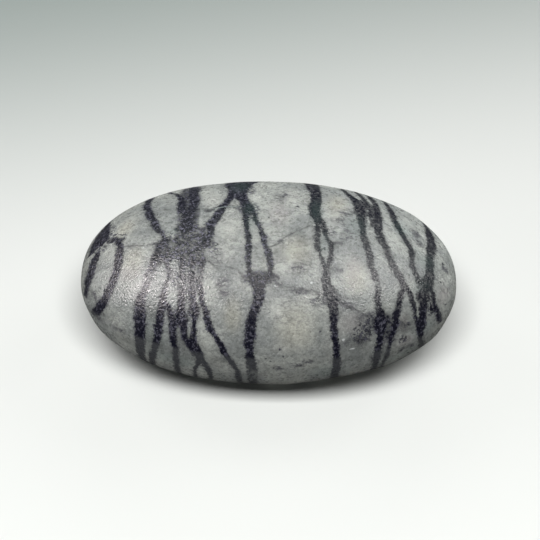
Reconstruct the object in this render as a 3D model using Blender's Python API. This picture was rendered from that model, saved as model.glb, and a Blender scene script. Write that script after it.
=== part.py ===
"""Jasper pocket stone: one tumbled pebble, in metres, +Z up.

The long axis runs along X, the width along Y and the thickness along Z.
The pebble is a rounded, slightly squared oval in all three directions. A few shallow worn faces break
its symmetry, and it stands on a small worn flat that lies in the plane z = 0.
"""

import math

import bmesh
import bpy
from mathutils import Vector

# Overall size before wear, in metres
LENGTH = 0.058
WIDTH = 0.039
THICKNESS = 0.0235

# Outline: 2 is a true oval, larger is squarer
PLAN_EXPONENT = 2.21
GIRTH_EXPONENT = 2.1

# The +X end is a touch broader and flatter than the -X end
END_BROADENING = 0.012
END_THINNING = 0.016

# Depth of the flat the pebble rests on
REST_DEPTH = 0.00025

# Shallow worn faces: heading round Z from +X, tilt above the horizontal, depth of wear
WEAR_SOFTNESS = 0.001
WORN_FACES = (
    (-160.0, -25.0, 0.0008),
    (-135.0, -40.0, 0.0006),
    (-70.0, -50.0, 0.0011),
    (-45.0, -40.0, 0.0009),
    (-20.0, -25.0, 0.0008),
    (105.0, 50.0, 0.0004),
    (60.0, 45.0, 0.0004),
    (20.0, 60.0, 0.0012),
    (-150.0, 50.0, 0.0010),
    (-60.0, 25.0, 0.0010),
)

# Quads along each edge of the cube that the surface grid starts from
GRID = 20

OBJECT_NAME = "stone"
COLLECTION_NAME = "Jasper pocket stone"
STONE_GREY = (0.36, 0.37, 0.35, 1.0)
STONE_ROUGHNESS = 0.45


def clear_scene():
    """Remove every object and mesh that the new file starts with."""
    for item in list(bpy.data.objects):
        bpy.data.objects.remove(item, do_unlink=True)
    for mesh in list(bpy.data.meshes):
        bpy.data.meshes.remove(mesh)


def even_direction(corner):
    """Turn a point on the cube's skin into a unit direction, with evenly spread angles."""
    spread = Vector(math.tan(value * math.pi / 4.0) for value in corner)
    return spread.normalized()


def pebble_point(direction):
    """Point of the unworn pebble in a given direction."""
    along = abs(direction.x)
    across = abs(direction.y) ** GIRTH_EXPONENT + abs(direction.z) ** GIRTH_EXPONENT
    across **= PLAN_EXPONENT / GIRTH_EXPONENT
    reach = (along ** PLAN_EXPONENT + across) ** (-1.0 / PLAN_EXPONENT)
    x, y, z = direction * reach
    return Vector((
        x * LENGTH / 2.0,
        y * WIDTH / 2.0 * (1.0 + END_BROADENING * x),
        z * THICKNESS / 2.0 * (1.0 - END_THINNING * x),
    ))


def heading(turn, tilt):
    """Unit vector with a turn round Z from +X and a tilt above the horizontal, in degrees."""
    turn, tilt = math.radians(turn), math.radians(tilt)
    return Vector((
        math.cos(tilt) * math.cos(turn),
        math.cos(tilt) * math.sin(turn),
        math.sin(tilt),
    ))


def wear_face(verts, facing, depth):
    """Press the surface in where it reaches furthest along the facing, fading out at the rim."""
    limit = max(vert.co.dot(facing) for vert in verts) - depth
    for vert in verts:
        excess = max(0.0, vert.co.dot(facing) - limit)
        vert.co -= facing * excess ** 2 / (excess + WEAR_SOFTNESS)


def settle(verts):
    """Flatten the underside, then put the flat in z = 0 and the outline's middle on the Z axis."""
    floor = min(vert.co.z for vert in verts) + REST_DEPTH
    for vert in verts:
        vert.co.z = max(vert.co.z, floor)
    low_x, high_x = min(v.co.x for v in verts), max(v.co.x for v in verts)
    low_y, high_y = min(v.co.y for v in verts), max(v.co.y for v in verts)
    shift = Vector(((low_x + high_x) / 2.0, (low_y + high_y) / 2.0, floor))
    for vert in verts:
        vert.co -= shift


def stone_material():
    """Plain grey honed stone."""
    material = bpy.data.materials.new("honed_stone")
    material.use_nodes = True
    shader = material.node_tree.nodes["Principled BSDF"]
    shader.inputs["Base Color"].default_value = STONE_GREY
    shader.inputs["Roughness"].default_value = STONE_ROUGHNESS
    material.diffuse_color = STONE_GREY
    return material


def build_stone():
    """Make the pebble as one closed mesh object in its own collection."""
    bm = bmesh.new()
    bmesh.ops.create_cube(bm, size=2.0)
    bmesh.ops.subdivide_edges(bm, edges=bm.edges[:], cuts=GRID - 1, use_grid_fill=True)
    for vert in bm.verts:
        vert.co = pebble_point(even_direction(vert.co))
    for turn, tilt, depth in WORN_FACES:
        wear_face(bm.verts, heading(turn, tilt), depth)
    settle(bm.verts)
    bmesh.ops.recalc_face_normals(bm, faces=bm.faces[:])

    mesh = bpy.data.meshes.new(OBJECT_NAME)
    bm.to_mesh(mesh)
    bm.free()
    mesh.materials.append(stone_material())
    mesh.shade_smooth()

    stone = bpy.data.objects.new(OBJECT_NAME, mesh)
    collection = bpy.data.collections.new(COLLECTION_NAME)
    bpy.context.scene.collection.children.link(collection)
    collection.objects.link(stone)
    return stone


clear_scene()
build_stone()
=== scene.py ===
"""A pocket stone: the looks of a smooth grey stone crossed by dark bands, on a pale floor."""

import math

import bpy
from bpy.props import FloatProperty, FloatVectorProperty, PointerProperty
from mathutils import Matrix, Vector


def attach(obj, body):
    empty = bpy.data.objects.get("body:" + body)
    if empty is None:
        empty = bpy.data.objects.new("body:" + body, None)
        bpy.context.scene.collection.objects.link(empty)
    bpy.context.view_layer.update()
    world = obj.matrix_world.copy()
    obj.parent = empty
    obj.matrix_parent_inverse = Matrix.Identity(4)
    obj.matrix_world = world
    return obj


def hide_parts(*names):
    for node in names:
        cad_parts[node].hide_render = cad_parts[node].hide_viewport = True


bl_info = {
    "name": "Pocket stone",
    "version": (1, 0, 0),
    "blender": (4, 5, 0),
    "location": "3D View > Sidebar > Pocket stone",
    "description": "Makes a smooth banded pocket stone and the pale stage that it lies on",
    "category": "Object",
}

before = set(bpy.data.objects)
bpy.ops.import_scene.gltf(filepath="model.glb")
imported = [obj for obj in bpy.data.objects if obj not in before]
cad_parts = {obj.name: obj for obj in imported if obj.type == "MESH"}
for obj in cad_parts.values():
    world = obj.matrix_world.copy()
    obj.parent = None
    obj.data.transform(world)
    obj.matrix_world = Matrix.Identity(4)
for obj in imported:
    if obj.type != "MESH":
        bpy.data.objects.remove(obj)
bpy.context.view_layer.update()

MM = 0.001
MERGE_DISTANCE = 1e-6
QUAD_ANGLE = math.radians(60)
SMOOTH_LEVELS = 2

# The markings are placed by two numbers. The girth is an angle round the stone, seen from its
# left end: 0 at the front edge, 90 on top, 180 at the back edge, and -90 or 270 underneath.
# The along is the distance in mm from the middle towards the right end. A degree of girth counts
# as DEGREE_LENGTH mm beside a line that runs along.
GIRTH_HALF_WIDTH = 19.5
GIRTH_HALF_HEIGHT = 11.75
GIRTH_MIDDLE_HEIGHT = 11.5
GIRTH_START = -90
GIRTH_END = 270
DEGREE_LENGTH = 0.3

# A line that ends thins out over this many degrees or mm, to this half width.
FADE_DEGREES = 2.5
FADE_LENGTH = 0.3
GONE = -1.6

# Each band is a row of (girth, along, width in mm).
DARK_BANDS = {
    "left wedge": [
        (85, -27.3, 0.6), (89, -26.6, 1.8), (92, -26.1, 2.9), (98, -26.05, 3.1), (105, -25.95, 2.9),
        (112, -25.8, 2.4), (118, -25.7, 1.6), (125, -25.3, 0.8), (135, -25, 0.5), (150, -24.6, 0.9),
        (168, -25.1, 1.2), (185, -25.6, 1), (205, -26, 0.9), (225, -26, 0.8), (240, -26.3, 0.3),
    ],
    "left tip": [
        (16, -27.8, 0.2), (23, -27.6, 0.5), (38, -27.4, 0.8), (50, -27.15, 1.15), (58.5, -26.85, 1.3),
        (66, -26.65, 1.3), (72, -26.45, 1.25), (77, -26.25, 1.2), (81, -26, 0.7), (86, -25.7, 0.5),
        (92, -25.6, 0.8),
    ],
    "left loop": [
        (0, -26.3, 0.4), (5, -26, 0.9), (10, -25.7, 1.15), (18, -25.1, 1.2), (27, -24.5, 1.3),
        (33, -24.1, 1.2), (39, -23.7, 1.3), (45, -23.3, 1.1), (49, -23.1, 1.15), (57.6, -22.6, 1.15),
        (66, -22.4, 1.25), (71, -22.3, 1.2), (77.5, -22.3, 1.1), (82, -22.6, 1), (86, -22.8, 0.9),
        (89, -23.3, 0.5),
    ],
    "outer arm": [
        (78, -14.9, 0.9), (80, -15.2, 0.9), (83.5, -15.9, 1), (87, -16.7, 1), (92, -17.2, 1.2),
        (97, -17.7, 1.1), (101.5, -18.2, 1.15), (108, -18.6, 1), (117, -19.1, 1.05), (130, -19, 1.1),
        (145, -19.6, 1), (160, -20.3, 1.1), (178, -19.4, 1.2), (195, -18.9, 1), (212, -18.2, 1.1),
        (230, -18.6, 1.2), (248, -18.1, 1.1), (262, -18.6, 1.2), (270, -18.4, 1.2),
    ],
    "inner arm": [
        (99, -13.4, 1), (103, -13.5, 1.2), (107.5, -13.5, 1.2), (114.5, -13.8, 1), (122, -14.6, 0.6),
        (128, -15.6, 0.4), (140, -16.2, 0.6), (155, -15.6, 0.8), (172, -15.9, 0.9), (190, -15.2, 0.7),
        (205, -15.8, 0.9), (225, -15.9, 0.8), (245, -16.4, 0.9), (270, -16.2, 0.8),
    ],
    "column": [
        (84, -12.2, 2.2), (90, -12.3, 1.9), (98, -12.1, 1.7), (105, -11.7, 1.4), (111, -11.8, 1.5),
        (119, -12, 1.6), (130, -12.2, 1.4), (142, -12.6, 1.3), (158, -12, 1.5), (172, -12.4, 1.2),
        (188, -11.9, 1), (205, -12.5, 0.9), (222, -13.1, 1), (245, -12.7, 0.8), (270, -12.9, 0.8),
    ],
    "right arm": [
        (73, -9.1, 1.1), (78, -9, 1.3), (82, -8.6, 1.1), (86.5, -8.7, 1.4), (89, -8.4, 1.7), (92, -7.9, 1.6),
        (95.5, -7.6, 1.4), (100.5, -7.1, 1.2), (106, -6.4, 1.2), (114, -5.9, 1.2),
    ],
    "first leg": [
        (-90, -18.4, 1.2), (-75, -18, 1.1), (-60, -18.6, 1.2), (-45, -18.1, 1.2), (-25, -18.3, 1.2),
        (-10, -18.5, 1.3), (0, -18.5, 1.4), (10, -18.5, 1.5), (20, -18.4, 1.6), (28, -18.5, 1.6),
        (34, -18.5, 1.5), (40, -18.4, 1.2), (45, -18, 1), (50, -17.6, 1.1), (55, -17.3, 1.2),
        (65, -16.7, 1.2), (72, -16.2, 1.4), (79, -15.6, 1),
    ],
    "second leg": [
        (-90, -16.4, 0.8), (-70, -16.1, 0.9), (-45, -16.8, 0.8), (-20, -16.8, 0.9), (-5, -16.5, 1),
        (0, -16.3, 1), (5, -16.05, 1), (10, -15.9, 1.1), (15, -15.75, 1.15), (20, -15.6, 1.15),
        (25, -15.5, 1.1), (30, -15.35, 1.1), (35, -15.15, 1), (40, -14.95, 0.95), (45, -14.9, 0.9),
        (50, -14.8, 0.8), (56, -14.3, 0.7), (60.5, -14.6, 0.7), (65, -15.2, 0.8), (69, -15.6, 0.6),
    ],
    "third leg": [
        (-90, -12.9, 0.8), (-65, -13.2, 0.8), (-40, -12.7, 0.8), (-22, -12.9, 0.8), (-10, -12.95, 0.8),
        (-3, -12.95, 0.8), (3, -12.95, 0.75), (7, -13.1, 0.8), (11.5, -13.35, 0.95), (16, -13.4, 1),
        (21, -13.4, 1), (26, -13.4, 1), (30, -13.6, 1), (33.5, -13.9, 0.8), (37, -14.2, 0.7),
        (40, -14.7, 0.5),
    ],
    "fourth leg": [
        (11, -10.7, 1), (15, -11.1, 1), (19, -11.45, 1), (23, -11.7, 1.05), (27, -12, 1.4), (31, -12.3, 1.6),
        (35, -12.3, 1.2), (42, -12.2, 0.9), (50, -12.3, 0.9), (60, -12.5, 0.9), (66, -12.6, 1.2),
    ],
    "fifth leg": [
        (14, -10.2, 0.5), (17, -10.2, 0.7), (22, -10.2, 0.6), (27, -10.2, 0.55), (32, -10.2, 0.8),
        (37, -10.2, 0.9), (42, -10.4, 0.7), (50, -10.7, 0.8), (58, -10.8, 0.8), (66, -10.9, 1),
    ],
    "joined legs": [
        (-90, -10.4, 0.5), (-60, -10.6, 0.5), (-35, -10.3, 0.6), (-14, -10.2, 0.4), (-8, -9.9, 0.45),
        (-4, -9.5, 0.8), (0, -9.4, 1.3), (4, -9.6, 1.7), (8, -10, 1.9), (12, -10.4, 1.9), (15, -10.7, 1.5),
        (18, -10.9, 0.6),
    ],
    "joined legs, right fork": [
        (-90, -7.9, 0.7), (-60, -7.6, 0.7), (-38, -8.1, 0.7), (-22, -7.9, 0.7), (-12, -8.1, 0.8),
        (-6, -8.5, 0.9), (-1, -8.9, 1), (4, -9.2, 1),
    ],
    "sixth leg": [
        (-90, -3.5, 0.7), (-70, -3.9, 0.8), (-48, -3.3, 0.7), (-28, -3.5, 0.7), (-16, -3.7, 0.8),
        (-8.5, -3.75, 0.7), (-2.5, -4.3, 0.7), (1.5, -4.7, 0.9), (6, -5.3, 0.9), (9.5, -5.75, 0.95),
        (14, -6.1, 0.8), (17.5, -6.6, 0.8), (20.8, -7.1, 0.9), (24, -7.7, 1), (27.8, -8, 0.9),
        (31, -8.3, 0.9), (35, -8.5, 0.9), (38, -8.7, 0.6), (40, -9.1, 0.6), (47, -9.4, 0.8), (55, -9.7, 0.8),
        (60, -9.6, 0.9), (66, -9.4, 1.1),
    ],
    "hub": [
        (98, -3.4, 1.4), (102, -3.6, 1.5), (107, -4.2, 1.9), (113, -5, 2.8), (120, -5.1, 3.3),
        (128, -5, 4.4), (135, -4.6, 5), (142, -4.4, 4.6), (150, -4.2, 3.6), (158, -4.1, 1.4),
    ],
    "back left": [
        (146, -6, 1), (165, -7, 1), (185, -6.8, 0.9), (205, -7.4, 0.8), (230, -7.8, 0.7), (250, -7.6, 0.7),
        (270, -7.9, 0.7),
    ],
    "back middle": [
        (150, -4.1, 1.6), (170, -3.5, 1.3), (190, -3.9, 1), (215, -3.2, 0.8), (240, -3.8, 0.8),
        (270, -3.5, 0.7),
    ],
    "back right": [
        (142, -2.7, 1), (165, -1.4, 1.2), (185, -1, 1.2), (205, -1.7, 1.3), (230, -1.2, 1.2),
        (250, -1.8, 1.3), (270, -1.6, 1.3),
    ],
    "left strand": [
        (51, -1.3, 1.4), (54, -1.8, 1.2), (57, -2.4, 1), (59.5, -2.5, 0.8), (62.5, -2.6, 0.5),
        (66, -2.65, 0.6), (70, -2.7, 0.75), (74, -2.75, 0.8), (78, -2.8, 0.7), (81.5, -3, 0.7),
        (85, -3.2, 0.8), (89.5, -3.35, 0.9), (94, -3.5, 0.9), (100, -3.6, 1),
    ],
    "right strand": [
        (50, -0.9, 1.5), (53, -0.3, 1.1), (56, 0.4, 0.9), (58.5, 0.6, 0.7), (61.5, 0.7, 0.75),
        (64.5, 0.55, 0.8), (67.5, 0.35, 0.85), (70.5, 0.2, 1), (73, -0.2, 0.7), (76, -0.4, 0.7),
        (79.5, -0.6, 0.7), (82.5, -1, 0.6), (86, -1.35, 0.6), (90, -1.9, 0.6), (94, -2.1, 0.7),
        (97.5, -2.5, 0.8), (101, -2.9, 0.8),
    ],
    "trunk": [
        (-90, -1.6, 1.3), (-65, -1.3, 1.2), (-42, -1.8, 1.3), (-21, -1.6, 1.3), (-14, -1.55, 1.35),
        (-7, -1.6, 1.35), (-2, -1.65, 1.3), (2.7, -1.7, 1.3), (7.4, -1.95, 1.2), (10.8, -1.95, 1.1),
        (14.8, -2.05, 1.4), (18.5, -2.1, 1.4), (22.5, -1.9, 1.5), (26.3, -1.9, 1.5), (30, -1.9, 1.5),
        (33.3, -1.7, 1.4), (36.5, -1.5, 1.35), (39.5, -1.15, 1.4), (42, -0.95, 1.5), (44, -0.9, 1.5),
        (47, -0.85, 1.5), (51, -1, 1.6),
    ],
    "wide band": [
        (87, 7.9, 1), (90.8, 7.7, 1.6), (94.8, 7.25, 1.5), (98.7, 6.95, 1.6), (103.3, 6.85, 1.85),
        (109, 7.1, 1.6), (115.5, 6.95, 1.6), (123.7, 6.6, 2), (133, 6.3, 2), (148, 6, 1.8), (165, 6.9, 1.5),
        (182, 7.4, 1.3), (200, 8.3, 1.4), (218, 8.9, 1.2), (236, 9.9, 1.3), (252, 10.3, 1.2),
        (270, 10.5, 1.2),
    ],
    "wide band, left split": [
        (60, 8.8, 0.8), (62, 8.7, 0.7), (64.5, 8.5, 0.6), (67.6, 8.2, 0.5), (70, 7.9, 0.45),
        (72.5, 7.7, 0.65), (75.7, 7.45, 0.75), (79, 7.4, 0.75), (83, 7.5, 0.7), (87.5, 7.5, 0.9),
    ],
    "wide band, right split": [
        (60, 9, 0.8), (62, 9.05, 0.7), (65.5, 9.3, 0.6), (68.5, 9.5, 0.6), (71, 9.5, 0.6), (74, 9.6, 0.7),
        (77, 9.5, 0.7), (79.8, 9, 0.4), (83.5, 8.65, 0.6), (87.7, 8.4, 0.9), (90, 8.1, 0.8),
    ],
    "wide band, front": [
        (-90, 10.5, 1.2), (-60, 10.9, 1.1), (-35, 10.5, 1.2), (-13, 10.6, 1.2), (-7, 10.8, 1.2),
        (-0.5, 10.8, 1.15), (3.7, 10.8, 1), (8.3, 10.75, 0.95), (12, 10.7, 0.9), (15.5, 10.7, 0.75),
        (19, 10.45, 0.9), (22.7, 10.4, 0.95), (26.3, 10.3, 0.95), (29.7, 10.2, 0.9), (32, 10.25, 1.1),
        (35.3, 10.25, 1.25), (38.5, 10.15, 1.3), (41, 9.95, 1.4), (45, 9.9, 1.8), (49, 9.4, 1.9),
        (51, 9.3, 1.6), (53.5, 9, 1.3), (56.5, 8.8, 1.3), (59.5, 8.9, 1.2), (61, 8.9, 0.9),
    ],
    "slim band": [
        (-90, 16.2, 0.9), (-70, 16.6, 0.9), (-45, 16.1, 0.8), (-20, 16.3, 0.9), (-10, 16.55, 0.9),
        (-3, 16.6, 1), (3, 16.75, 1.1), (8, 16.9, 1.1), (13, 17.15, 1), (17.5, 17.15, 1), (22.5, 17.25, 1.6),
        (27, 17.1, 1.9), (33, 17.1, 1.5), (36.7, 16.95, 1), (39.5, 16.7, 0.8), (43, 16.6, 0.75),
        (46, 16.6, 0.8), (49.2, 16.7, 0.9), (52, 16.7, 0.9), (54, 16.6, 0.9), (56.5, 16.3, 1),
        (60.5, 16, 0.9), (64, 15.6, 1), (68, 15.4, 1), (72, 15.35, 1.1), (75.5, 15, 0.8), (79, 14.75, 1),
        (82.7, 14.5, 1.1), (86, 14.3, 1), (91.3, 14.25, 1), (96, 14.2, 1.1), (100.4, 14, 1.2),
        (105, 13.9, 1.5), (110, 13.7, 1.7), (115, 13.3, 1.5), (120, 12.7, 1.2), (125, 12, 0.9),
        (130, 11.4, 0.6), (145, 11, 0.6), (160, 11.8, 0.8), (180, 12.9, 0.9), (200, 13.5, 0.8),
        (220, 14.9, 1), (245, 15.8, 0.9), (270, 16.2, 0.9),
    ],
    "slim band, top strand": [
        (104, 15.9, 0.6), (108, 15.5, 0.8), (112, 15.2, 0.8), (116, 14.9, 0.8), (121, 14.5, 0.8),
        (126, 14.1, 0.8), (131, 13.7, 0.7), (140, 13, 0.5), (152, 12.3, 0.4), (165, 12.2, 0.5),
    ],
    "slanting band": [
        (50.5, 20.8, 1.2), (53, 20.5, 1.2), (54.5, 20.4, 1.1), (57, 20.1, 1.1), (60, 19.7, 1.1),
        (63.3, 19.3, 1.1), (66.6, 18.95, 1.1), (70, 18.55, 1), (73.4, 18.25, 1), (77.3, 17.95, 1),
        (80.5, 17.65, 1.2), (83.4, 17.1, 1.3), (87.2, 16.9, 1.2), (92.4, 16.5, 1.15), (98, 16.5, 1.3),
        (103.3, 16.6, 1.4), (108.3, 16.5, 1.3), (113.5, 16.4, 1.1), (117.7, 16.3, 1), (122.7, 16, 0.9),
        (131, 15.4, 0.8), (145, 15.2, 0.8), (160, 14.8, 1), (180, 15.6, 0.9), (200, 16.6, 0.8),
        (220, 16.9, 0.7), (245, 17.4, 0.6), (270, 17.5, 0.5),
    ],
    "slanting band, left fork": [
        (-90, 17.5, 0.5), (-50, 17.4, 0.5), (-15, 17.6, 0.5), (-8, 18, 0.5), (-1, 18.35, 0.5),
        (4.5, 18.5, 0.5), (9.5, 18.7, 0.5), (13, 18.75, 0.6), (17, 18.9, 0.8), (21.5, 19.3, 0.9),
        (26, 19.4, 0.9), (30, 19.4, 0.9), (34, 19.5, 0.9), (38, 19.75, 0.6), (41, 19.85, 0.8),
        (44.5, 20, 0.9), (48, 20.2, 0.8), (51, 20.6, 0.7),
    ],
    "slanting band, right fork": [
        (15, 22.8, 0.4), (17.5, 22.75, 0.4), (22, 22.6, 0.4), (26.5, 22.4, 0.4), (30.5, 22.25, 0.5),
        (34.5, 22.1, 0.6), (38.3, 22, 0.6), (42, 21.75, 0.5), (45.3, 21.55, 0.55), (48.7, 21.2, 0.6),
        (51, 20.9, 0.7),
    ],
    "slanting band, inner strand": [
        (103, 15.7, 0.5), (107, 15.2, 0.6), (111, 14.8, 0.6), (115, 14.4, 0.5), (119, 13.9, 0.4),
    ],
    "curved band": [
        (54, 23.1, 0.8), (56, 22.85, 0.9), (59.5, 22.55, 0.6), (63, 22.3, 0.6), (66, 22, 0.5),
        (70, 21.8, 0.6), (74.5, 21.7, 0.7), (79.5, 21.75, 0.8), (83.7, 21.65, 0.9), (87, 21.25, 0.9),
        (92, 20.8, 0.9), (96, 20.4, 0.95), (99.9, 20.05, 1), (103.6, 19.75, 1), (107.8, 19.4, 1.1),
        (113, 19.05, 1.1), (118, 18.85, 1), (122, 18.55, 0.8), (125.8, 18.3, 0.8), (128, 18.1, 0.7),
        (132, 17.8, 0.6), (145, 17.4, 0.7), (162, 18.4, 0.9), (180, 19.3, 0.9), (198, 19.9, 0.8),
        (215, 21, 0.8), (232, 21.9, 0.6), (245, 22.4, 0.2),
    ],
    "right end band": [
        (-90, 23.5, 0.8), (-50, 23.2, 0.7), (-20, 23.5, 0.7), (-5, 23.4, 0.7), (2.8, 23.2, 0.8),
        (9.7, 23.2, 1.1), (14, 23.15, 1.4), (20, 23.25, 1.5), (25.3, 23.4, 1.3), (30.3, 23.45, 1.3),
        (35, 23.5, 1.3), (41, 23.35, 1.5), (45.5, 23.25, 1.6), (50, 23.9, 1.5), (55, 24.1, 1.9),
        (57.3, 24.2, 1.6), (60.7, 24.4, 1.4), (65, 24.5, 1.2), (71, 24.5, 1.1), (76.3, 24.5, 1.2),
        (82.5, 24.55, 1.1), (89.5, 24.7, 1.3), (97.5, 24.9, 1.4), (105.5, 25.05, 1.3), (112.5, 24.95, 1.2),
        (119, 24.8, 1.4), (127, 24.65, 1.2), (133, 24.5, 0.8), (138, 24.2, 0.5), (150, 23.6, 0.8),
        (165, 23.9, 1.1), (182, 24.5, 1), (200, 24.1, 1.1), (220, 24.4, 1), (245, 23.7, 0.9),
        (270, 23.5, 0.8),
    ],
    "right end band, right fork": [
        (5, 26.4, 0.4), (10.6, 26.15, 0.5), (19.5, 25.8, 0.7), (27, 25.5, 0.8), (33, 25.2, 0.6),
        (38, 25.05, 0.6), (43, 24.95, 0.7), (48, 24.7, 0.7), (52, 24.4, 0.7),
    ],
    "right end band, inner strand": [
        (25, 25.2, 0.4), (27.5, 25, 0.5), (32, 24.65, 0.5), (38, 24.3, 0.5), (43, 24.2, 0.5),
        (48, 24.1, 0.6), (52, 24.1, 0.6),
    ],
}

# How deep the black of the bands is, from 0 to 1 round the girth. Where it is less the bands are painted
# lighter: a painted sheen of the lamps on top, a painted reflection of the floor low down, and lighter
# behind and underneath.
INK_DEPTH_UNDER_SHEEN = [
    (-90, 0.1), (-20, 0.2), (-5, 0.8), (5, 1), (14, 1), (30, 1), (42, 0.8), (56, 0.3), (75, 0.15),
    (95, 0.45), (112, 0.75), (140, 0.6), (200, 0.3), (270, 0.1),
]

# Hairlines are thin and faint. These run round the girth, as the bands do.
HAIRLINES = {
    "arm to left strand": [
        (57.5, -3.5, 0.31), (59.5, -4.3, 0.44), (60.7, -5.4, 0.46), (61, -6.6, 0.46), (62.5, -7.7, 0.5),
        (64.5, -8.6, 0.45),
    ],
    "right strand to wide band": [
        (73, 0.2, 0.53), (74.3, 1.1, 0.5), (76, 1.9, 0.45), (77.6, 2.2, 0.4), (79.5, 2.7, 0.38),
        (80.5, 3.2, 0.35), (82, 3.8, 0.3), (85, 5.2, 0.28), (88, 6.3, 0.25),
    ],
    "right of wide band": [(34, 15.2, 0.2), (36.5, 14, 0.3), (40, 12.4, 0.35), (43, 11.1, 0.5)],
    "left loop speck": [(13, -24.2, 0.25), (17, -24.4, 0.44), (21, -24.7, 0.38)],
    "back hairline": [(168, 2, 0.3), (176, 3.1, 0.38), (187, 4, 0.33), (196, 5.6, 0.38), (204, 6.6, 0.28)],
    "underside hairline": [(215, 0.4, 0.25), (226, 1.6, 0.38), (240, 2.3, 0.33), (251, 4.4, 0.38)],
}
# These run along: (along, girth, width in mm).
HAIRLINES_ALONG = {
    "green line": [
        (-10, 98.5, 0.5), (-9.2, 98, 0.65), (-8.4, 99.5, 0.5), (-7.5, 100, 0.44), (-6.2, 100.5, 0.56),
        (-4.5, 100, 0.56),
    ],
    "below the strands": [
        (1.5, 52.6, 0.5), (3.5, 51, 0.35), (5, 50, 0.33), (6.1, 49.5, 0.33), (7, 49, 0.38), (8, 47.5, 0.45),
    ],
    "loop to arm": [(-22, 79, 0.18), (-20, 77, 0.2), (-18, 76.5, 0.25), (-16.6, 77, 0.3)],
    "arm to column": [(-10.6, 85, 0.7), (-9.2, 85.4, 0.75), (-8.4, 86, 0.5)],
    "wide band to slim band": [(9.6, 77.5, 0.38), (10.4, 77.6, 0.33), (11.2, 77.8, 0.2)],
    "left strand spur": [(-3.5, 56, 0.5), (-3, 56, 0.62), (-2.4, 56, 0.62)],
    "right strand spur": [(0.8, 58.5, 0.38), (1.2, 57.5, 0.45), (2, 55.5, 0.33)],
}

# A light line that crosses the right arm.
LIGHT_LINES = {"over arm": [(-8.6, 99.4, 0.1), (-7.4, 100.2, 0.16), (-6, 100.5, 0.16), (-4.6, 100.2, 0.1)]}

# Patches are soft ovals: (girth, along, half height in degrees, half length in mm).
NETWORK_PATCHES = [
    (73, -13, 9, 4.6), (77, -10.3, 11, 1.8), (84, -12.2, 12, 2.2), (66, -11.2, 6, 2.7), (70, -13.6, 8, 3.4),
    (95, -12.2, 14, 1.9), (108, -12.3, 16, 1.9), (124, -12.5, 14, 1.9), (67, -16.2, 7, 1.3),
    (30, -12.6, 7, 1.9), (36, -10.3, 6, 1.1), (20, -11.2, 8, 1.2), (110, 14.9, 11, 1.8), (100, 15.5, 8, 0.9),
    (54, 23.8, 7, 1.4), (27, 17.4, 8, 1.8), (20, 18.3, 9, 1.5), (98, -3, 6, 0.8), (55.5, -0.9, 4.5, 2.4),
    (89, -23.8, 3.5, 1.1), (86, -22.7, 3, 0.7), (160, -4.6, 14, 2.4), (240, -17.6, 20, 1.8),
    (200, 15.2, 16, 1.2),
]
ROUGH_PATCHES = [
    (92, -23.9, 6, 1.6), (88, -22.4, 6, 1.2), (103, -24.2, 9, 0.9), (84, -25.6, 6, 1.6), (53, -11.8, 10, 3),
    (44, -11.2, 8, 1.8), (28, 15.6, 8, 1.3), (22, 14.3, 9, 2.2), (30, 24.6, 10, 0.8), (97, -2.4, 9, 1.4),
    (100, -4, 5, 1.2), (46, 9.6, 6, 2.2), (55, -0.9, 6, 3.4), (81, -14.6, 5, 1.4), (72, -7.9, 5, 1.2),
    (104, 14.4, 12, 2.4), (8, 20.6, 6, 0.9), (118, -4.6, 12, 3), (212, -14.6, 20, 2), (176, 6, 14, 2),
]
# Patches where pale grains break up the bands: worn places, and at the two highlights a painted highlight
# that washes the bands out.
WORN_AND_HIGHLIGHT_PATCHES = [
    (53, -14.5, 11, 6), (54, -11, 10, 3.4), (52, 16.6, 7, 1.2), (-14, -1.6, 12, 1.6), (230, -12.8, 16, 1.6),
    (205, 8.4, 14, 1.6),
]
FLECK_PATCHES = [
    (97, -26, 14, 1.4), (83, -24, 8, 2.2), (76, -12.5, 16, 5.5), (119, 24.8, 16, 1.2), (57, 23.8, 7, 2.2),
    (24, 17.6, 10, 2.4), (45, 9.9, 6, 1.5), (121, -4.8, 12, 3.2), (30, -12, 10, 3), (55, 17.5, 10, 1.4),
    (225, -17.4, 26, 3), (182, -3, 26, 4),
]
SMOKE_PATCHES = [
    (47, -5.9, 4, 1.3), (56, 0.9, 4.5, 1.8), (61, 4.9, 5, 2.6), (49, 5.2, 3.5, 3), (43, 7.6, 5, 1.6),
    (41, 12, 5, 2.2), (45, 8.2, 5, 1.2), (43, 11, 4, 1.2), (33, 15, 8, 2.4), (24, 15.4, 10, 2.6),
    (17, 14.4, 8, 2), (12, 18.2, 9, 2.4), (24, 16.2, 7, 1.5), (21, 20.6, 10, 1.6), (16, 12.6, 6, 2),
    (101, 11.5, 5, 1.8), (94, 10.6, 4, 1.6), (84, 11.9, 7, 1.6), (111, 1.8, 9, 1.6), (75, 27, 9, 1),
    (62, 10.6, 4, 1.6), (-2, 2.4, 4, 1.6), (3, 6.6, 4, 1.5), (0, 5.2, 3, 1.2), (4, -25, 8, 1.6),
    (6, -21.8, 7, 1.7), (-3, 21.3, 7, 2.2), (66, -7.2, 5, 1.6), (74, -8.3, 4, 0.9), (52, -6.3, 5, 1.6),
    (55, -11.8, 11, 2.8), (46, -11, 10, 2), (32, -25.8, 8, 1), (108, 22.6, 10, 1.2), (96, 23, 8, 1.2),
    (85, 9.6, 5, 1.2), (150, 2, 14, 3), (205, -9.8, 22, 3), (240, 6, 20, 3.4), (190, 20.4, 20, 2.4),
    (176, -22.4, 22, 1.8), (165, 9.6, 8, 2), (215, 12.4, 12, 2.2), (-60, 5, 20, 3),
]
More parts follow.
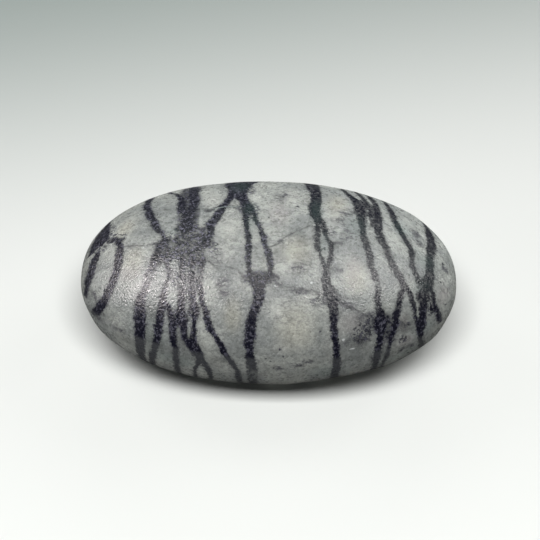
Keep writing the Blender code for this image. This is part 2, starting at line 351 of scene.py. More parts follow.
# Warm patches of the ground; the one at girth 56, along 13.4 is also a painted highlight under the right
# lamp.
CREAM_AND_HIGHLIGHT_PATCHES = [
    (28, 4.6, 22, 4.2), (108, 10.3, 16, 2.4), (66, -20, 16, 2.6), (72, 4.4, 12, 3), (56, 13.4, 14, 2.6),
    (96, -22, 14, 2), (34, -4.6, 16, 2.2), (186, 10.8, 26, 2.2), (160, -16.8, 22, 2.4), (232, -12, 20, 3.6),
]
# Paler patches: mostly pale ground, but those at girth 52 along -20.4 and girth 62 along 12.4 are painted
# highlights, and those at the right end are painted light.
PALE_AND_HIGHLIGHT_PATCHES = [
    (52, -20.4, 16, 3.2), (98, -21.6, 15, 3.2), (26, 4.4, 16, 3.8), (38, 2.6, 12, 3.4), (46, 6.4, 8, 2.6),
    (84, -5.6, 12, 1.6), (68, -6.2, 8, 2.4), (108, -9, 12, 2), (64, 4.4, 8, 2.4), (16, 3, 10, 2.4),
    (62, 12.4, 13, 2.4), (112, 3, 14, 2.6), (110, 11, 14, 2), (97, 9.6, 10, 1.8), (40, 27, 20, 1.6),
    (59, 26.6, 10, 1.6), (190, -8, 16, 3.2), (214, 10.8, 14, 1.6),
]
GREEN_PATCHES = [
    (89, -2.4, 10, 1.6), (99, -2.9, 9, 1.8), (77, 8.5, 11, 1.1), (100, 7.2, 16, 1.7), (124, -4.8, 14, 2.4),
    (76, 23.9, 14, 2.4), (52, 23.4, 10, 2.2), (12, 23.8, 12, 2.2), (-8, 9.4, 12, 4), (84, -14.4, 4, 1.4),
    (104, 20.4, 14, 2.6), (92, 13.2, 14, 2.4), (98, -9.2, 3, 1.6), (-12, 21, 12, 6), (16, -16.8, 20, 4.6),
    (-6, -14, 12, 8), (200, 6.8, 30, 4), (240, 18, 26, 4),
]
ROSE_PATCHES = [
    (6, 21, 9, 2), (42, 26.6, 18, 1.6), (24, 20.6, 12, 1.2), (96, 1.6, 16, 2.6), (30, 13, 12, 3.6),
    (62, 13, 14, 1.6), (56, -21, 10, 2.6), (210, 2, 24, 3.6),
]
# Greyer patches: those low on the front are painted shade where the stone turns down to the floor, and the
# rest are duller ground.
DULL_AND_SHADE_PATCHES = [
    (12, -17, 20, 3.8), (14, -11.4, 16, 3.4), (30, -16.6, 12, 2.6), (14, 14.2, 18, 3), (20, 20.6, 14, 2),
    (0, 19, 12, 4), (22, 22, 10, 1.4), (-2, -20, 8, 4), (2, -6.5, 6, 2.4), (70, 2, 9, 2.4),
    (66, 5.6, 10, 2.2), (78, 5, 8, 2.4), (108, 5.6, 8, 2.6), (220, 14, 22, 4), (190, -14, 16, 3.6),
]
LIGHT_HOLES = [
    (85.8, -25.9, 2.4, 0.7), (83.5, -14.8, 3.2, 0.7), (23, -11, 6, 0.26), (98, 15, 4.5, 0.4),
    (33, 24.3, 5, 0.22), (62.5, -13.6, 3.4, 0.55), (59, -13.2, 4, 0.4), (108, 15, 1.2, 0.25),
    (92, -10, 7, 0.5),
]
DARK_SPECKS = [
    (92.5, 0.05, 0.7, 0.17), (102.5, 4.3, 0.7, 0.34), (13.5, 2.45, 0.8, 0.2), (8, 3, 0.8, 0.2),
    (6, 0.35, 0.8, 0.2), (4, 1.1, 0.7, 0.2), (25.3, 8.3, 0.6, 0.15), (-0.5, 9, 0.8, 0.2),
    (27, 27, 1.4, 0.24), (57, 26.2, 1.6, 0.3), (45.3, 7.8, 0.9, 0.2), (73.5, 8.6, 0.8, 0.2),
    (82, 26.6, 2.2, 0.16), (124, -1, 0.7, 0.4), (21, 21.3, 2, 0.4), (188, 3, 1, 0.25),
]
# Painted glints: white spots where the crystals catch the lamps.
PAINTED_GLINT_SPOTS = [
    (51.5, 1.6, 0.8, 0.36), (53.5, 6.8, 0.9, 0.24), (19, 11.7, 1.1, 0.26), (11, 13, 0.7, 0.5),
    (74.5, -18.6, 0.6, 0.2), (196, -8, 0.9, 0.3),
]

# Small chips in the lower front edge: (girth, along, radius in mm, depth in mm).
EDGE_CHIPS = [
    (-31, 15.6, 0.9, 0.3), (-33, 16.6, 0.6, 0.16), (-20, 22, 0.8, 0.18), (-14, 24.6, 1, 0.12),
    (205, -14, 1, 0.16),
]

# How far the noises shake the markings, in degrees and in mm.
GIRTH_SHAKE = 2
ALONG_SHAKE = 0.3

# The noises: the panel's size that each follows, if any, its share of that or else its own size
# in mm, its detail and its roughness.
NOISES = {
    "clouds": (None, 7, 3, 0.5), "drift": (None, 3.2, 4, 0.6), "mottle": (None, 1.5, 5, 0.65),
    "ragged": (None, 0.8, 3, 0.6), "grain": ("grain_size", 1, 1, 0.5),
    "sand": ("grain_size", 0.7, 2, 0.6), "blotch": ("blotch_size", 1, 1, 0.5),
    "blotches": ("blotch_size", 0.7, 2, 0.6), "flake": ("blotch_size", 0.4, 1, 0.5),
    "streaks": ("wisp_size", 1, 5, 0.65), "dirt": ("wisp_size", 0.4, 4, 0.7),
}
CRYSTAL_SHARE = 1.3
WISP_STRETCH = (0.5, 1, 1)

# How much the crystals count beside the sand: their tones, and the relief of their facets.
CRYSTAL_CONTRAST = 0.4
FACET_RELIEF = 0.8

# Each marking: the value at which it starts to show, the one at which it shows in full, and how
# strongly it then covers what is under it, where 1 hides all of it.
MARKINGS = {
    "hole": (-0.2, 0.3, 1), "halo": (-0.9, 0.1, 1), "network": (-0.1, 0.35, 1),
    "speckle": (-0.1, 0.02, 0.34), "rough": (0, 0.45, 1), "scatter": (-0.04, 0.06, 0.85),
    "worn and highlight": (0, 0.7, 1), "pale grain": (-0.08, 0.1, 0.62), "hairline": (-0.22, 0.2, 1),
    "light line": (-0.14, 0.1, 0.7), "cloud": (-0.15, 0.15, 1), "pale": (0, 0.9, 0.6),
    "cream": (0, 0.9, 0.6), "green": (0, 0.9, 1), "rose": (0, 0.9, 0.5), "smoke": (0, 0.9, 1),
    "soot": (-0.12, 0.12, 1.1), "thread": (0, 0.045, 1), "thread drift": (0.4, 0.6, 0.44),
    "mottle": (0.52, 0.72, 0.3), "hair mottle": (0.4, 0.6, 0.4), "halo mottle": (0.3, 0.6, 0.3),
    "hairline mottle": (0.3, 0.6, 0.45), "dirt": (0.11, 0.21, 0.2), "dull and shade": (0, 0.9, 0.28),
    "chip": (0, 0.5, 0.8), "glint": (0.95, 0.98, 0.25), "dark facet": (0.1, 0.3, 1),
    "fleck": (0.02, 0.12, 1), "many flecks": (0, 0.7, 0.25),
    # These start and end at a girth or at a distance along.
    "left end": (20.5, 23, 0.8), "warm right": (3, 8, 1), "warm top": (28, 40, 1),
    "green top": (40, 60, 0.75), "low": (-1.5, 2.5, 0.9), "underside": (185, 199, 0.9),
}

# Covers that have no step of their own.
BAND_COVER = 0.985
NETWORK_COVER = 0.65
HAIRLINE_COVER = 0.4
GREEN_COVER = 0.5
SMOKE_THREAD_COVER = 0.45
FLECK_COVER = 0.65
DIM_FLECK_COVER = 1.05
DEEP_FLECK_LOSS = 0.4

# Depths in mm of the holes in the bands and of the specks, and a hairline's share of the fray.
HOLE_DEPTH = 0.5
SPECK_DEPTH = 0.3
SPECK_RIM = 0.08
HAIRLINE_FRAY = 0.8

# Below this girth the bands are painted lighter, a painted reflection of the floor; the girth falls by so
# much for each mm to the right.
FLOOR_REFLECTION_GIRTH = 6.2
FLOOR_REFLECTION_SLOPE = 0.1

# The honed surface, and how much lower in mm the bands stand in it.
ROUGHNESS = 0.33
ROUGHNESS_SPREAD = 0.2
SHINE = 0.3
BAND_DIP = 0.015

# The underside is even up to the first height in metres, and the stone is uneven above the second.
EVEN_HEIGHT = 0.0004
UNEVEN_HEIGHT = 0.003
HOLLOW_DETAIL = 2

# Camera: its angles in degrees, its distance in metres and its lens in mm.
CAMERA_HEIGHT_ANGLE = 40
CAMERA_TURN = 2.3
CAMERA_DISTANCE = 0.3
CAMERA_LENS = 129.3
CAMERA_SHIFT = (0.003, 0.0189)
CAMERA_NEAREST = 0.01
LOOK_AT = Vector((0, 0, 0.0115))

# Soft boxes: turn in degrees from the front towards the right, height angle in degrees,
# width and height in metres, power in watts, and tint. All are this far from the stone.
BOX_DISTANCE = 0.6
WHITE = (1, 1, 0.99)
COOL = (0.965, 1, 0.995)
STONE_BOXES = {
    "right top box": (100, 68, 0.3, 0.3, 1.15, COOL),
    "back right box": (135, 45, 0.3, 0.3, 0.35, COOL),
}
# These give no shine, and the lamps give nothing else. The under box stands in for the light
# that comes up from the floor.
MATT_BOXES = {
    "left box": (-50, 28, 0.3, 0.3, 1.35, WHITE),
    "front box": (0, 45, 0.3, 0.3, 1.6, (0.975, 1, 0.99)),
    "back rim box": (158, 20, 0.3, 0.3, 2.8, COOL),
    "side box": (-115, 42, 0.3, 0.3, 1.4, WHITE),
    "right rim box": (120, 12, 0.3, 0.3, 0.8, WHITE),
    "under box": (0, -50, 0.6, 0.3, 0.62, WHITE),
}
SHINE_LAMPS = {
    "left lamp": (-90, 49, 0.08, 0.36, 9.1, (1, 0.93, 0.92)),
    "right lamp": (107, 62, 0.08, 0.3, 2.7, (1, 0.95, 0.94)),
}
# These light the floor alone and send nothing on from it to the stone.
FLOOR_BOXES = {
    "top floor box": (2, 57.5, 0.4, 0.19, 4.52, WHITE),
    "back floor box": (180, 20, 0.3, 0.3, 0.45, WHITE),
    "right floor box": (125, 36, 0.3, 0.3, 0.36, WHITE),
    "left floor box": (-125, 36, 0.3, 0.3, 0.32, WHITE),
}

# The floor, in metres: where its painted shade starts to darken it towards the back and where it is darkest,
# and how that line slants.
FLOOR_SIZE = 3
FLOOR_SHADE = (0.02, 0.135)
FLOOR_SHADE_SLANT = 0.3
FLOOR_ROUGHNESS = 0.8
FLOOR_SHINE = 0.2


class Value:
    """A number at one place on a surface. Arithmetic on it adds Math nodes to its tree."""

    def __init__(self, tree, socket):
        self.tree = tree
        self.socket = socket

    def maths(self, operation, *numbers):
        return self.tree.node("ShaderNodeMath", {"operation": operation}, dict(enumerate(numbers)))

    def __add__(self, other):
        return self.maths("ADD", self, other)

    def __sub__(self, other):
        return self.maths("SUBTRACT", self, other)

    def __rsub__(self, other):
        return self.maths("SUBTRACT", other, self)

    def __mul__(self, other):
        return self.maths("MULTIPLY", self, other)

    def __truediv__(self, other):
        return self.maths("DIVIDE", self, other)

    __radd__ = __add__
    __rmul__ = __mul__

    def larger(self, other):
        return self.maths("MAXIMUM", self, other)

    def smaller(self, other):
        return self.maths("MINIMUM", self, other)

    def size(self):
        return self.maths("ABSOLUTE", self)

    def step(self, low, high, top=1):
        """0 below low, the top above high, and a smooth rise between them."""
        sockets = {0: self, 1: low, 2: high, 4: top}
        return self.tree.node("ShaderNodeMapRange", {"interpolation_type": "SMOOTHSTEP"}, sockets)

    def shows(self, marking):
        """How strongly a marking covers a place where it depends on this value."""
        return self.step(*MARKINGS[marking])

    def output(self, name):
        """Another output of the node that this value comes from."""
        return Value(self.tree, self.socket.node.outputs[name])


class Finish:
    """The node tree of one material."""

    def __init__(self, name):
        material = bpy.data.materials.new(name)
        material.use_nodes = True
        self.material = material
        self.nodes = material.node_tree.nodes
        self.links = material.node_tree.links
        self.shader = self.nodes["Principled BSDF"]

    def node(self, kind, settings=None, sockets=None, output=0):
        """Adds a node: its settings first, then the values or links of its sockets."""
        node = self.nodes.new(kind)
        for name, value in (settings or {}).items():
            if name == "curve":
                draw_curve(node.mapping, value)
            else:
                setattr(node, name, value)
        for key, value in (sockets or {}).items():
            self.join(value, node.inputs[key])
        return Value(self, node.outputs[output])

    def join(self, value, socket):
        if isinstance(value, Value):
            self.links.new(value.socket, socket)
        else:
            socket.default_value = value

    def blend(self, amount, first, second, kind="MIX"):
        """A colour that goes from the first to the second as the amount goes from 0 to 1."""
        settings = {"data_type": "RGBA", "blend_type": kind}
        return self.node("ShaderNodeMix", settings, {0: amount, 6: first, 7: second}, output=2)

    def tone(self, paint, level):
        """A colour made darker or lighter by the level at each place."""
        grey = self.node("ShaderNodeCombineColor", None, {0: level, 1: level, 2: level})
        return self.blend(1, paint, grey, "MULTIPLY")

    def vectors(self, operation, sockets, output=0):
        return self.node("ShaderNodeVectorMath", {"operation": operation}, sockets, output)

    def noise(self, place, size, detail, roughness):
        """Soft noise whose bumps are about this many mm across, from 0 to 1 about 0.5."""
        sockets = {"Vector": place, "Scale": 1 / size, "Detail": detail, "Roughness": roughness}
        return self.node("ShaderNodeTexNoise", None, sockets)

    def finished(self, paint, roughness, shine):
        """The material, once its colour, roughness and shine are joined to the shader."""
        self.join(paint, self.shader.inputs["Base Color"])
        self.join(roughness, self.shader.inputs["Roughness"])
        self.join(shine, self.shader.inputs["Specular IOR Level"])
        return self.material


def draw_curve(mapping, points):
    """Puts the points on a curve node, which holds its end values beyond them."""
    mapping.use_clip = False
    mapping.extend = "HORIZONTAL"
    curve = mapping.curves[0]
    curve.points[0].location = points[0]
    curve.points[1].location = points[-1]
    for across, up in points[1:-1]:
        curve.points.new(across, up)
    for point in curve.points:
        point.handle_type = "AUTO_CLAMPED"
    mapping.update()


def deepest(depths):
    result = depths[0]
    for depth in depths[1:]:
        result = result.larger(depth)
    return result


def girth_and_along(place):
    """The girth and along of a place given in mm."""
    parts = place.tree.node("ShaderNodeSeparateXYZ", None, {0: place})
    back = parts.output("Y") / GIRTH_HALF_WIDTH
    up = (parts.output("Z") - GIRTH_MIDDLE_HEIGHT) / GIRTH_HALF_HEIGHT
    turn = back.maths("ARCTAN2", back, up)
    return turn * math.degrees(1) + 90, parts.output("X")


class Pattern:
    """What the markings share: where a place is, in girth and along, and the noises there."""

    def __init__(self, finish, look):
        metres = finish.node("ShaderNodeTexCoord", output="Object")
        self.finish = finish
        place = finish.vectors("SCALE", {0: metres, "Scale": 1 / MM})
        stretched = finish.vectors("MULTIPLY", {0: place, 1: WISP_STRETCH})
        self.noises = {}
        for name, (size, share, detail, roughness) in NOISES.items():
            width = share * (getattr(look, size) if size else 1)
            where = stretched if size == "wisp_size" else place
            self.noises[name] = finish.noise(where, width, detail, roughness)
        cells = {"Vector": place, "Scale": 1 / (look.grain_size * CRYSTAL_SHARE)}
        crystals = finish.node("ShaderNodeTexVoronoi", None, cells, output="Color")
        self.facet = crystals.output("Distance")
        self.noises["crystal"] = finish.node("ShaderNodeSeparateColor", None, {0: crystals})

        girth, along = girth_and_along(place)
        self.girth = girth + self.mix(drift=GIRTH_SHAKE)
        self.along = along + self.mix(ragged=ALONG_SHAKE)
        self.height = self.girth * DEGREE_LENGTH
        self.spot = finish.node("ShaderNodeCombineXYZ", None, {0: self.girth, 1: self.along})

    def mix(self, **shares):
        """A sum of shares of the noises, each taken as a wave about 0."""
        total = -0.5 * sum(shares.values())
        for name, share in shares.items():
            noise = self.noises[name]
            total = noise.maths("MULTIPLY_ADD", noise, share, total)
        return total

    def line(self, course, offset, points, fade):
        """How far inside one line a place is, in mm. The line's middle and width follow its course."""
        middles = [(at, middle) for at, middle, width in points]
        halves = [(at, width / 2) for at, middle, width in points]
        first, last = points[0][0], points[-1][0]
        if first > GIRTH_START:
            halves.insert(0, (first - fade, GONE))
        if last < GIRTH_END:
            halves.append((last + fade, GONE))
        middle = self.finish.node("ShaderNodeFloatCurve", {"curve": middles}, {"Value": course})
        half = self.finish.node("ShaderNodeFloatCurve", {"curve": halves}, {"Value": course})
        return half - (offset - middle).size()

    def lines_round(self, lines):
        """The depths of lines that run round the girth."""
        return [self.line(self.girth, self.along, points, FADE_DEGREES) for points in lines.values()]

    def lines_along(self, lines):
        """The depths of lines that run along, with their middles given in degrees of girth."""
        depths = []
        for points in lines.values():
            level = [(at, middle * DEGREE_LENGTH, width) for at, middle, width in points]
            depths.append(self.line(self.along, self.height, level, FADE_LENGTH))
        return depths

    def inside(self, patches):
        """1 at the middle of the nearest patch, 0 at its rim and below 0 outside."""
        depths = []
        for girth, along, high, long in patches:
            scale = (1 / high, 1 / long, 0)
            start = (-girth / high, -along / long, 0)
            offset = self.finish.vectors("MULTIPLY_ADD", {0: self.spot, 1: scale, 2: start})
            depths.append(1 - self.finish.vectors("LENGTH", {0: offset}, "Value"))
        return deepest(depths)

    def patches(self, patches, marking):
        """How strongly the patches of one marking cover a place."""
        return self.inside(patches).shows(marking)


def darkness(pattern, look, fray):
    """How dark the bands and specks make a place, and how near it is to a band, both from 0 to 1."""
    holes = pattern.inside(LIGHT_HOLES)
    depth = deepest(pattern.lines_round(DARK_BANDS)) + look.band_swell
    depth = depth.smaller(0 - holes * HOLE_DEPTH)
    specks = pattern.inside(DARK_SPECKS) * SPECK_DEPTH - SPECK_RIM
    dark = (depth.larger(specks) + fray).step(-look.edge_softness, look.edge_softness)

    # Where bands merge they make a speckled network.
    network = (pattern.inside(NETWORK_PATCHES) + pattern.mix(ragged=0.5)).shows("network")
    speckle = pattern.mix(blotch=0.5, flake=0.6, sand=0.3).shows("speckle")
    dark = dark.larger(network * (1 - holes.shows("hole")) * (speckle + NETWORK_COVER))

    # Beside some bands the dark breaks up into loose specks.
    scatter = pattern.mix(flake=1, sand=0.5, mottle=0.5).shows("scatter")
    dark = dark.larger(pattern.patches(ROUGH_PATCHES, "rough") * scatter)

    # Where bands are worn, and where a painted highlight of the lamps washes over them, pale grains break
    # them up.
    pale_grains = pattern.mix(blotch=1, sand=0.6).shows("pale grain")
    dark = dark * (1 - pattern.patches(WORN_AND_HIGHLIGHT_PATCHES, "worn and highlight") * pale_grains)
    return dark, depth.shows("halo")


def wisps(pattern, halo, hair_depth):
    """How much smoke, fine threads and dirt cover the ground."""
    mottle, drift = pattern.noises["mottle"], pattern.noises["drift"]
    threads = 1 - pattern.mix(streaks=1).size().shows("thread")
    smoke = pattern.patches(SMOKE_PATCHES, "smoke")
    return (
        mottle.shows("mottle")
        + threads * drift.shows("thread drift")
        + smoke * threads * SMOKE_THREAD_COVER
        + smoke * pattern.mix(mottle=0.6, dirt=0.6, sand=0.3).shows("soot")
        + pattern.mix(dirt=0.5, drift=0.5, clouds=0.3).shows("dirt")
        + hair_depth.shows("halo") * mottle.shows("hair mottle")
        + halo * mottle.shows("halo mottle")
    )


def ground_colour(pattern, look, green, smoke, hair):
    """The pale ground between the bands, with its clouds, grains and hairlines, painted glints, and painted
    shade and highlights in patches.
    """
    finish, noises = pattern.finish, pattern.noises
    ground = finish.blend(pattern.mix(clouds=1, drift=0.5).shows("cloud"), look.grey, look.pale)
    # Pale ground, and painted highlight and painted light where some patches stand in for the lamps.
    ground = finish.blend(pattern.patches(PALE_AND_HIGHLIGHT_PATCHES, "pale"), ground, look.palest_ground_and_highlight)
    # Warm ground, with one patch that is also a painted highlight.
    ground = finish.blend(pattern.patches(CREAM_AND_HIGHLIGHT_PATCHES, "cream"), ground, look.cream)
    ground = finish.blend(green * GREEN_COVER, ground, look.green)
    ground = finish.blend(pattern.patches(ROSE_PATCHES, "rose"), ground, look.rose)
    ground = finish.blend(smoke, ground, look.smoke)
    contrast = look.grain_contrast
    grains = pattern.mix(crystal=contrast * CRYSTAL_CONTRAST, sand=contrast)
    clouds = pattern.mix(clouds=0.6, drift=0.9, mottle=0.95)
    ground = finish.tone(ground, grains + clouds + 1)
    # Painted shade on the lower front, and duller ground elsewhere.
    ground = finish.tone(ground, 1 - pattern.patches(DULL_AND_SHADE_PATCHES, "dull and shade"))
    # Painted glints: single crystals and the listed spots are painted white, standing in for the lamps'
    # sparkle.
    glints = noises["crystal"].shows("glint") * (1 - pattern.facet.shows("dark facet"))
    ground = finish.blend(pattern.patches(PAINTED_GLINT_SPOTS, "chip") + glints, ground, look.chip)
    hair = hair * (noises["mottle"].shows("hairline mottle") + HAIRLINE_COVER)
    return finish.blend(hair, ground, look.hairline)


def ink_colour(pattern, look, green):
    """The bands' colour: black low in front, painted sheen on top, green in places, and a painted reflection
    of the floor low down.
    """
    finish, girth, along = pattern.finish, pattern.girth, pattern.along
    # Painted sheen: the bands are painted lighter where this depth is less.
    depth_under_sheen = finish.node("ShaderNodeFloatCurve", {"curve": INK_DEPTH_UNDER_SHEEN}, {"Value": girth})
    depth_under_sheen = depth_under_sheen.larger((0 - along).shows("left end"))
    ink = finish.blend(depth_under_sheen, look.dim_and_sheen_ink, look.ink)
    slate = finish.blend(along.shows("warm right") * girth.shows("warm top"), look.slate, look.warm_slate)
    flecks = pattern.mix(blotches=0.4, flake=0.6, sand=0.5).shows("fleck")
    flecks = flecks * (pattern.patches(FLECK_PATCHES, "many flecks") + FLECK_COVER)
    # The flecks are light grains of the bands; where the bands are less black they show more, as part of the
    # painted sheen.
    ink = finish.blend(flecks * (DIM_FLECK_COVER - depth_under_sheen * DEEP_FLECK_LOSS), ink, slate)
    ink = finish.blend(green * girth.shows("green top"), ink, look.green_ink)
    # Painted reflection of the floor: low in front the bands are lighter, and under the back they are faded
    # in the same way.
    low = (FLOOR_REFLECTION_GIRTH - along * FLOOR_REFLECTION_SLOPE - girth).shows("low")
    return finish.blend(low.larger(girth.shows("underside")), ink, look.reflection_and_faded_ink)


def banded_stone(look):
    """Pale crystalline stone with dark bands, clouds, specks and a honed, grainy surface."""
    finish = Finish("banded_stone")
    pattern = Pattern(finish, look)
    fray = pattern.mix(mottle=0.6, ragged=0.5, grain=look.fray, sand=look.fray)
    dark, halo = darkness(pattern, look, fray)
    hair_depth = deepest(pattern.lines_round(HAIRLINES) + pattern.lines_along(HAIRLINES_ALONG))
    hair = (hair_depth + fray * HAIRLINE_FRAY).shows("hairline")
    green = pattern.patches(GREEN_PATCHES, "green")
    ground = ground_colour(pattern, look, green, wisps(pattern, halo, hair_depth), hair)
    paint = finish.blend(dark * BAND_COVER, ground, ink_colour(pattern, look, green))
    light_line = deepest(pattern.lines_along(LIGHT_LINES)).shows("light line")
    paint = finish.blend(light_line, paint, look.green)

    relief = (pattern.mix(grain=0.7, sand=1) - pattern.facet * FACET_RELIEF) * look.grain_depth
    heights = {"Strength": 1, "Distance": MM, "Height": relief - dark * BAND_DIP}
    finish.join(finish.node("ShaderNodeBump", None, heights), finish.shader.inputs["Normal"])
    roughness = pattern.mix(crystal=ROUGHNESS_SPREAD) + ROUGHNESS
    return finish.finished(paint, roughness, SHINE)


def pale_floor(look):
    """A pale matt floor with painted shade that grows darker towards the back."""
    finish = Finish("pale_floor")
    place = finish.node("ShaderNodeTexCoord", output="Object")
    parts = finish.node("ShaderNodeSeparateXYZ", None, {0: place})
    # Painted shade: the floor's colour darkens further back, where less light reaches it.
    far = (parts.output("Y") - parts.output("X") * FLOOR_SHADE_SLANT).step(*FLOOR_SHADE)
    return finish.finished(finish.blend(far, look.near, look.far), FLOOR_ROUGHNESS, FLOOR_SHINE)


def number(name, description, default, **facts):
    return FloatProperty(name=name, description=description, default=default, **facts)


def colour(name, description, value):
    return FloatVectorProperty(
        name=name, description=description, default=(*value, 1), size=4, subtype="COLOR", min=0, max=1
    )


class StoneLook(bpy.types.PropertyGroup):
    """Sizes and colours of the stone."""

    unevenness: number(
        "Unevenness", "Depth of the soft hollows in the surface", 0.00016,
        subtype="DISTANCE", unit="LENGTH",
    )
    hollow_size: number(
        "Hollow size", "Width of the soft hollows in the surface", 0.007,
        subtype="DISTANCE", unit="LENGTH",
    )
    grain_size: number("Grain size", "Width of the crystal grains in mm", 0.3, min=0.1)
    grain_depth: number("Grain depth", "Height of the crystal grains in mm", 0.055, min=0)
    grain_contrast: number("Grain contrast", "How much the grains differ in brightness", 0.66, min=0)
    wisp_size: number("Wisp size", "Width of the grey wisps in mm", 1.7, min=0.1)
    blotch_size: number("Blotch size", "Width in mm of the dark blotches where bands merge", 1, min=0.1)
    fray: number("Fray", "How far in mm the band edges break up between the grains", 0.7, min=0)
    edge_softness: number("Edge softness", "Half the width in mm of a band's soft edge", 0.2, min=0.01)
    band_swell: number("Band swell", "How much each side of a band grows, in mm", 0.08)
    pale: colour("Pale", "The lighter ground", (0.345, 0.352, 0.33))
    # Also the colour of the painted highlights and painted light in the pale patches.
    palest_ground_and_highlight: colour("Light ground", "The palest ground", (0.42, 0.42, 0.395))
    grey: colour("Grey", "The darker ground", (0.262, 0.273, 0.266))
    cream: colour("Cream", "The warm ground", (0.375, 0.362, 0.305))
    green: colour("Green", "The greenish ground", (0.25, 0.285, 0.272))
    rose: colour("Rose", "The reddish ground", (0.315, 0.292, 0.288))
    smoke: colour("Smoke", "The grey clouds and wisps", (0.1, 0.1, 0.107))
    # The colour of the painted glints.
    chip: colour("Chip", "The white chips and glints", (0.66, 0.67, 0.67))
    hairline: colour("Hairline", "The thin faint lines", (0.072, 0.072, 0.074))
    ink: colour("Ink", "The dark bands on the lower front", (0.004, 0.004, 0.012))
    # Also the colour of the painted sheen on the bands on top.
    dim_and_sheen_ink: colour("Dim ink", "The dark bands on top, behind and underneath", (0.023, 0.025, 0.0285))
    slate: colour("Slate", "The light flecks in the dark bands", (0.172, 0.168, 0.215))
    warm_slate: colour("Warm slate", "The light flecks in the bands on the right", (0.16, 0.16, 0.158))
    green_ink: colour("Green ink", "The greenish dark bands", (0.022, 0.034, 0.034))
    # Also the colour of the painted reflection of the floor in the bands low in front.
    reflection_and_faded_ink: colour("Faded ink", "The dark bands low down and underneath", (0.058, 0.06, 0.066))


class StageLook(bpy.types.PropertyGroup):
    """Colours and light of the stage."""

    near: colour("Near floor", "The floor at the front", (0.815, 0.831, 0.812))
    # The far floor colour is painted shade, where less light falls.
    far: colour("Far floor", "The floor at the back", (0.345, 0.395, 0.378))
    light: number("Light", "Brightness of all the soft boxes", 1, min=0)
    room: number("Room", "Brightness of the room", 0.02, min=0)
    room_tint: colour("Room tint", "The colour of the room's light", (0.93, 1, 0.99))


def deselect_all():
    if bpy.context.object and bpy.context.object.mode != "OBJECT":
        bpy.ops.object.mode_set(mode="OBJECT")
    bpy.ops.object.select_all(action="DESELECT")


def copy_of_node(name, piece_name):
    """A merged copy of a CAD node, active and alone in the selection."""
    deselect_all()
    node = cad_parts[name]
    piece = bpy.data.objects.new(piece_name, node.data.copy())
    bpy.context.scene.collection.objects.link(piece)
    piece.data.materials.clear()
    piece.select_set(True)
    bpy.context.view_layer.objects.active = piece
    bpy.ops.object.mode_set(mode="EDIT")
    bpy.ops.mesh.select_all(action="SELECT")
    bpy.ops.mesh.remove_doubles(threshold=MERGE_DISTANCE)
    bpy.ops.mesh.tris_convert_to_quads(face_threshold=QUAD_ANGLE, shape_threshold=QUAD_ANGLE)
    bpy.ops.object.mode_set(mode="OBJECT")
    return piece


def apply_modifier(piece, name, kind, **settings):
    modifier = piece.modifiers.new(name, kind)
    for key, value in settings.items():
        setattr(modifier, key, value)
    bpy.ops.object.modifier_apply(modifier=modifier.name)


def weigh_vertices(piece, name, weight):
    """Makes a vertex group in which each vertex has the weight of its place."""
    group = piece.vertex_groups.new(name=name)
    for vertex in piece.data.vertices:
        amount = weight(vertex.co)
        if amount > 0:
            group.add([vertex.index], min(amount, 1), "REPLACE")
    return group.name


def above_underside(place):
    """0 on the flat underside, which stays even, and 1 or more where the stone is uneven."""
    return (place.z - EVEN_HEIGHT) / (UNEVEN_HEIGHT - EVEN_HEIGHT)


def surface_point(girth, along):
    """A place in metres on the CAD stone at this girth and along."""
    angle = math.radians(girth)
    way = Vector((0, -GIRTH_HALF_WIDTH * math.cos(angle), GIRTH_HALF_HEIGHT * math.sin(angle)))
    start = Vector((along, 0, GIRTH_MIDDLE_HEIGHT)) * MM
    hit, place, *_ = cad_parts["stone"].ray_cast(start, way.normalized())
    if not hit:
        raise RuntimeError(f"no surface at girth {girth} and along {along}")
    return place


class STONE_OT_stone(bpy.types.Operator):
    """Makes the stone: a smooth, slightly uneven body with chipped edges and a banded finish"""

    bl_idname = "pocket_stone.stone"
    bl_label = "Stone"

    def execute(self, context):
        look = context.scene.stone_look
        stone = copy_of_node("stone", "banded_pebble")
        apply_modifier(stone, "Smooth", "SUBSURF", levels=SMOOTH_LEVELS, render_levels=SMOOTH_LEVELS)
        hollows = bpy.data.textures.new("hollows", "CLOUDS")
        hollows.noise_scale = look.hollow_size
        hollows.noise_depth = HOLLOW_DETAIL
        uneven = weigh_vertices(stone, "uneven", above_underside)
        apply_modifier(
            stone, "Unevenness", "DISPLACE", texture=hollows, texture_coords="LOCAL",
            strength=look.unevenness, mid_level=0.5, vertex_group=uneven,
        )
        deepest_chip = max(depth for girth, along, radius, depth in EDGE_CHIPS) * MM
        chips = [
            (surface_point(girth, along), radius * MM, depth * MM)
            for girth, along, radius, depth in EDGE_CHIPS
        ]

        def chip_weight(place):
            return max(
                depth / deepest_chip * max(0, 1 - ((place - middle).length / radius) ** 2)
                for middle, radius, depth in chips
            )

        chipped = weigh_vertices(stone, "chipped", chip_weight)
        apply_modifier(stone, "Chips", "DISPLACE", strength=-deepest_chip, mid_level=0, vertex_group=chipped)
        stone.vertex_groups.clear()
        bpy.ops.object.shade_smooth()
        stone.data.materials.append(banded_stone(look))
        lit_group("stone_only").objects.link(stone)
        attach(stone, "root")
        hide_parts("stone")
        return {"FINISHED"}


def facing(turn, height, distance):
    """The place and rotation from which a light or camera faces the stone."""
    turn, height = math.radians(turn), math.radians(height)
    flat = math.cos(height)
    way = Vector((math.sin(turn) * flat, -math.cos(turn) * flat, math.sin(height)))
    return {"location": LOOK_AT + way * distance, "rotation": way.to_track_quat("Z", "Y").to_euler()}


def lit_group(name):
    """The collection of this name, which only some of the soft boxes light."""
    return bpy.data.collections.get(name) or bpy.data.collections.new(name)


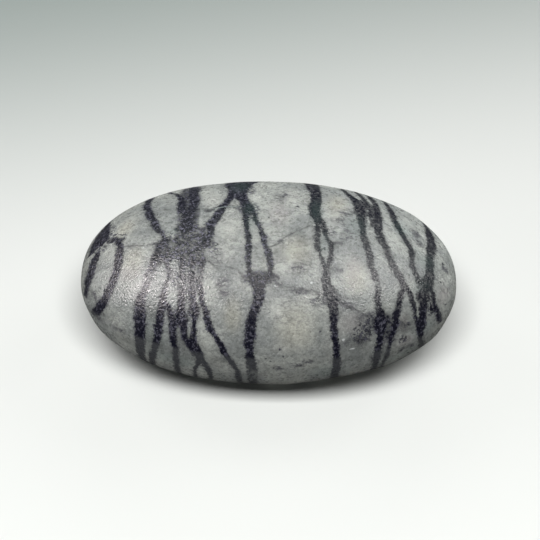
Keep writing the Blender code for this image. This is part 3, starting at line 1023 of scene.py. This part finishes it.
def soft_box(name, facts, brightness, receivers, blockers=None):
    """A soft light that faces the stone and lights its receivers. Only the blockers, if any, hide it."""
    turn, height, wide, high, power, tint = facts
    bpy.ops.object.light_add(type="AREA", **facing(turn, height, BOX_DISTANCE))
    box = bpy.context.object
    box.name = name.replace(" ", "_")
    box.data.shape = "RECTANGLE"
    box.data.size = wide
    box.data.size_y = high
    box.data.energy = power * brightness
    box.data.color = tint
    box.light_linking.receiver_collection = receivers
    box.light_linking.blocker_collection = blockers
    return box


class STONE_OT_stage(bpy.types.Operator):
    """Makes the pale floor, the soft boxes, the room's light and the camera"""

    bl_idname = "pocket_stone.stage"
    bl_label = "Stage"

    def execute(self, context):
        look = context.scene.stage_look
        deselect_all()
        bpy.ops.mesh.primitive_plane_add(size=FLOOR_SIZE, location=(0, 0, 0))
        floor = context.object
        floor.name = "floor"
        floor.data.materials.append(pale_floor(look))

        floor_only = lit_group("floor_only")
        floor_only.objects.link(floor)
        for name, facts in FLOOR_BOXES.items():
            box = soft_box(name, facts, look.light, floor_only)
            box.data.cycles.max_bounces = 0
        stone_only = lit_group("stone_only")
        for name, facts in {**STONE_BOXES, **MATT_BOXES, **SHINE_LAMPS}.items():
            box = soft_box(name, facts, look.light, stone_only, stone_only)
            box.visible_glossy = name not in MATT_BOXES
            box.visible_diffuse = name not in SHINE_LAMPS

        room = bpy.data.worlds.new("room")
        room.use_nodes = True
        background = room.node_tree.nodes["Background"]
        background.inputs["Color"].default_value = look.room_tint
        background.inputs["Strength"].default_value = look.room
        context.scene.world = room

        bpy.ops.object.camera_add(**facing(CAMERA_TURN, CAMERA_HEIGHT_ANGLE, CAMERA_DISTANCE))
        camera = context.object
        camera.name = "camera"
        camera.data.lens = CAMERA_LENS
        camera.data.shift_x, camera.data.shift_y = CAMERA_SHIFT
        camera.data.clip_start = CAMERA_NEAREST
        context.scene.camera = camera
        context.scene.view_settings.view_transform = "Standard"
        deselect_all()
        return {"FINISHED"}


class STONE_PT_panel(bpy.types.Panel):
    """The pocket stone's pieces, sizes and colours"""

    bl_idname = "STONE_PT_panel"
    bl_label = "Pocket stone"
    bl_space_type = "VIEW_3D"
    bl_region_type = "UI"
    bl_category = "Pocket stone"

    def draw(self, context):
        for group, operator in (
            (context.scene.stone_look, STONE_OT_stone),
            (context.scene.stage_look, STONE_OT_stage),
        ):
            box = self.layout.box()
            for name in group.bl_rna.properties.keys():
                if name not in {"rna_type", "name"}:
                    box.prop(group, name)
            box.operator(operator.bl_idname)


CLASSES = (StoneLook, StageLook, STONE_OT_stone, STONE_OT_stage, STONE_PT_panel)


def register():
    for cls in CLASSES:
        bpy.utils.register_class(cls)
    bpy.types.Scene.stone_look = PointerProperty(type=StoneLook)
    bpy.types.Scene.stage_look = PointerProperty(type=StageLook)


def unregister():
    del bpy.types.Scene.stage_look
    del bpy.types.Scene.stone_look
    for cls in reversed(CLASSES):
        bpy.utils.unregister_class(cls)


def numbers(box):
    return [[float(value) for value in corner] for corner in box]


def main():
    register()
    bpy.ops.pocket_stone.stage()
    bpy.ops.pocket_stone.stone()


if __name__ == "__main__":
    main()
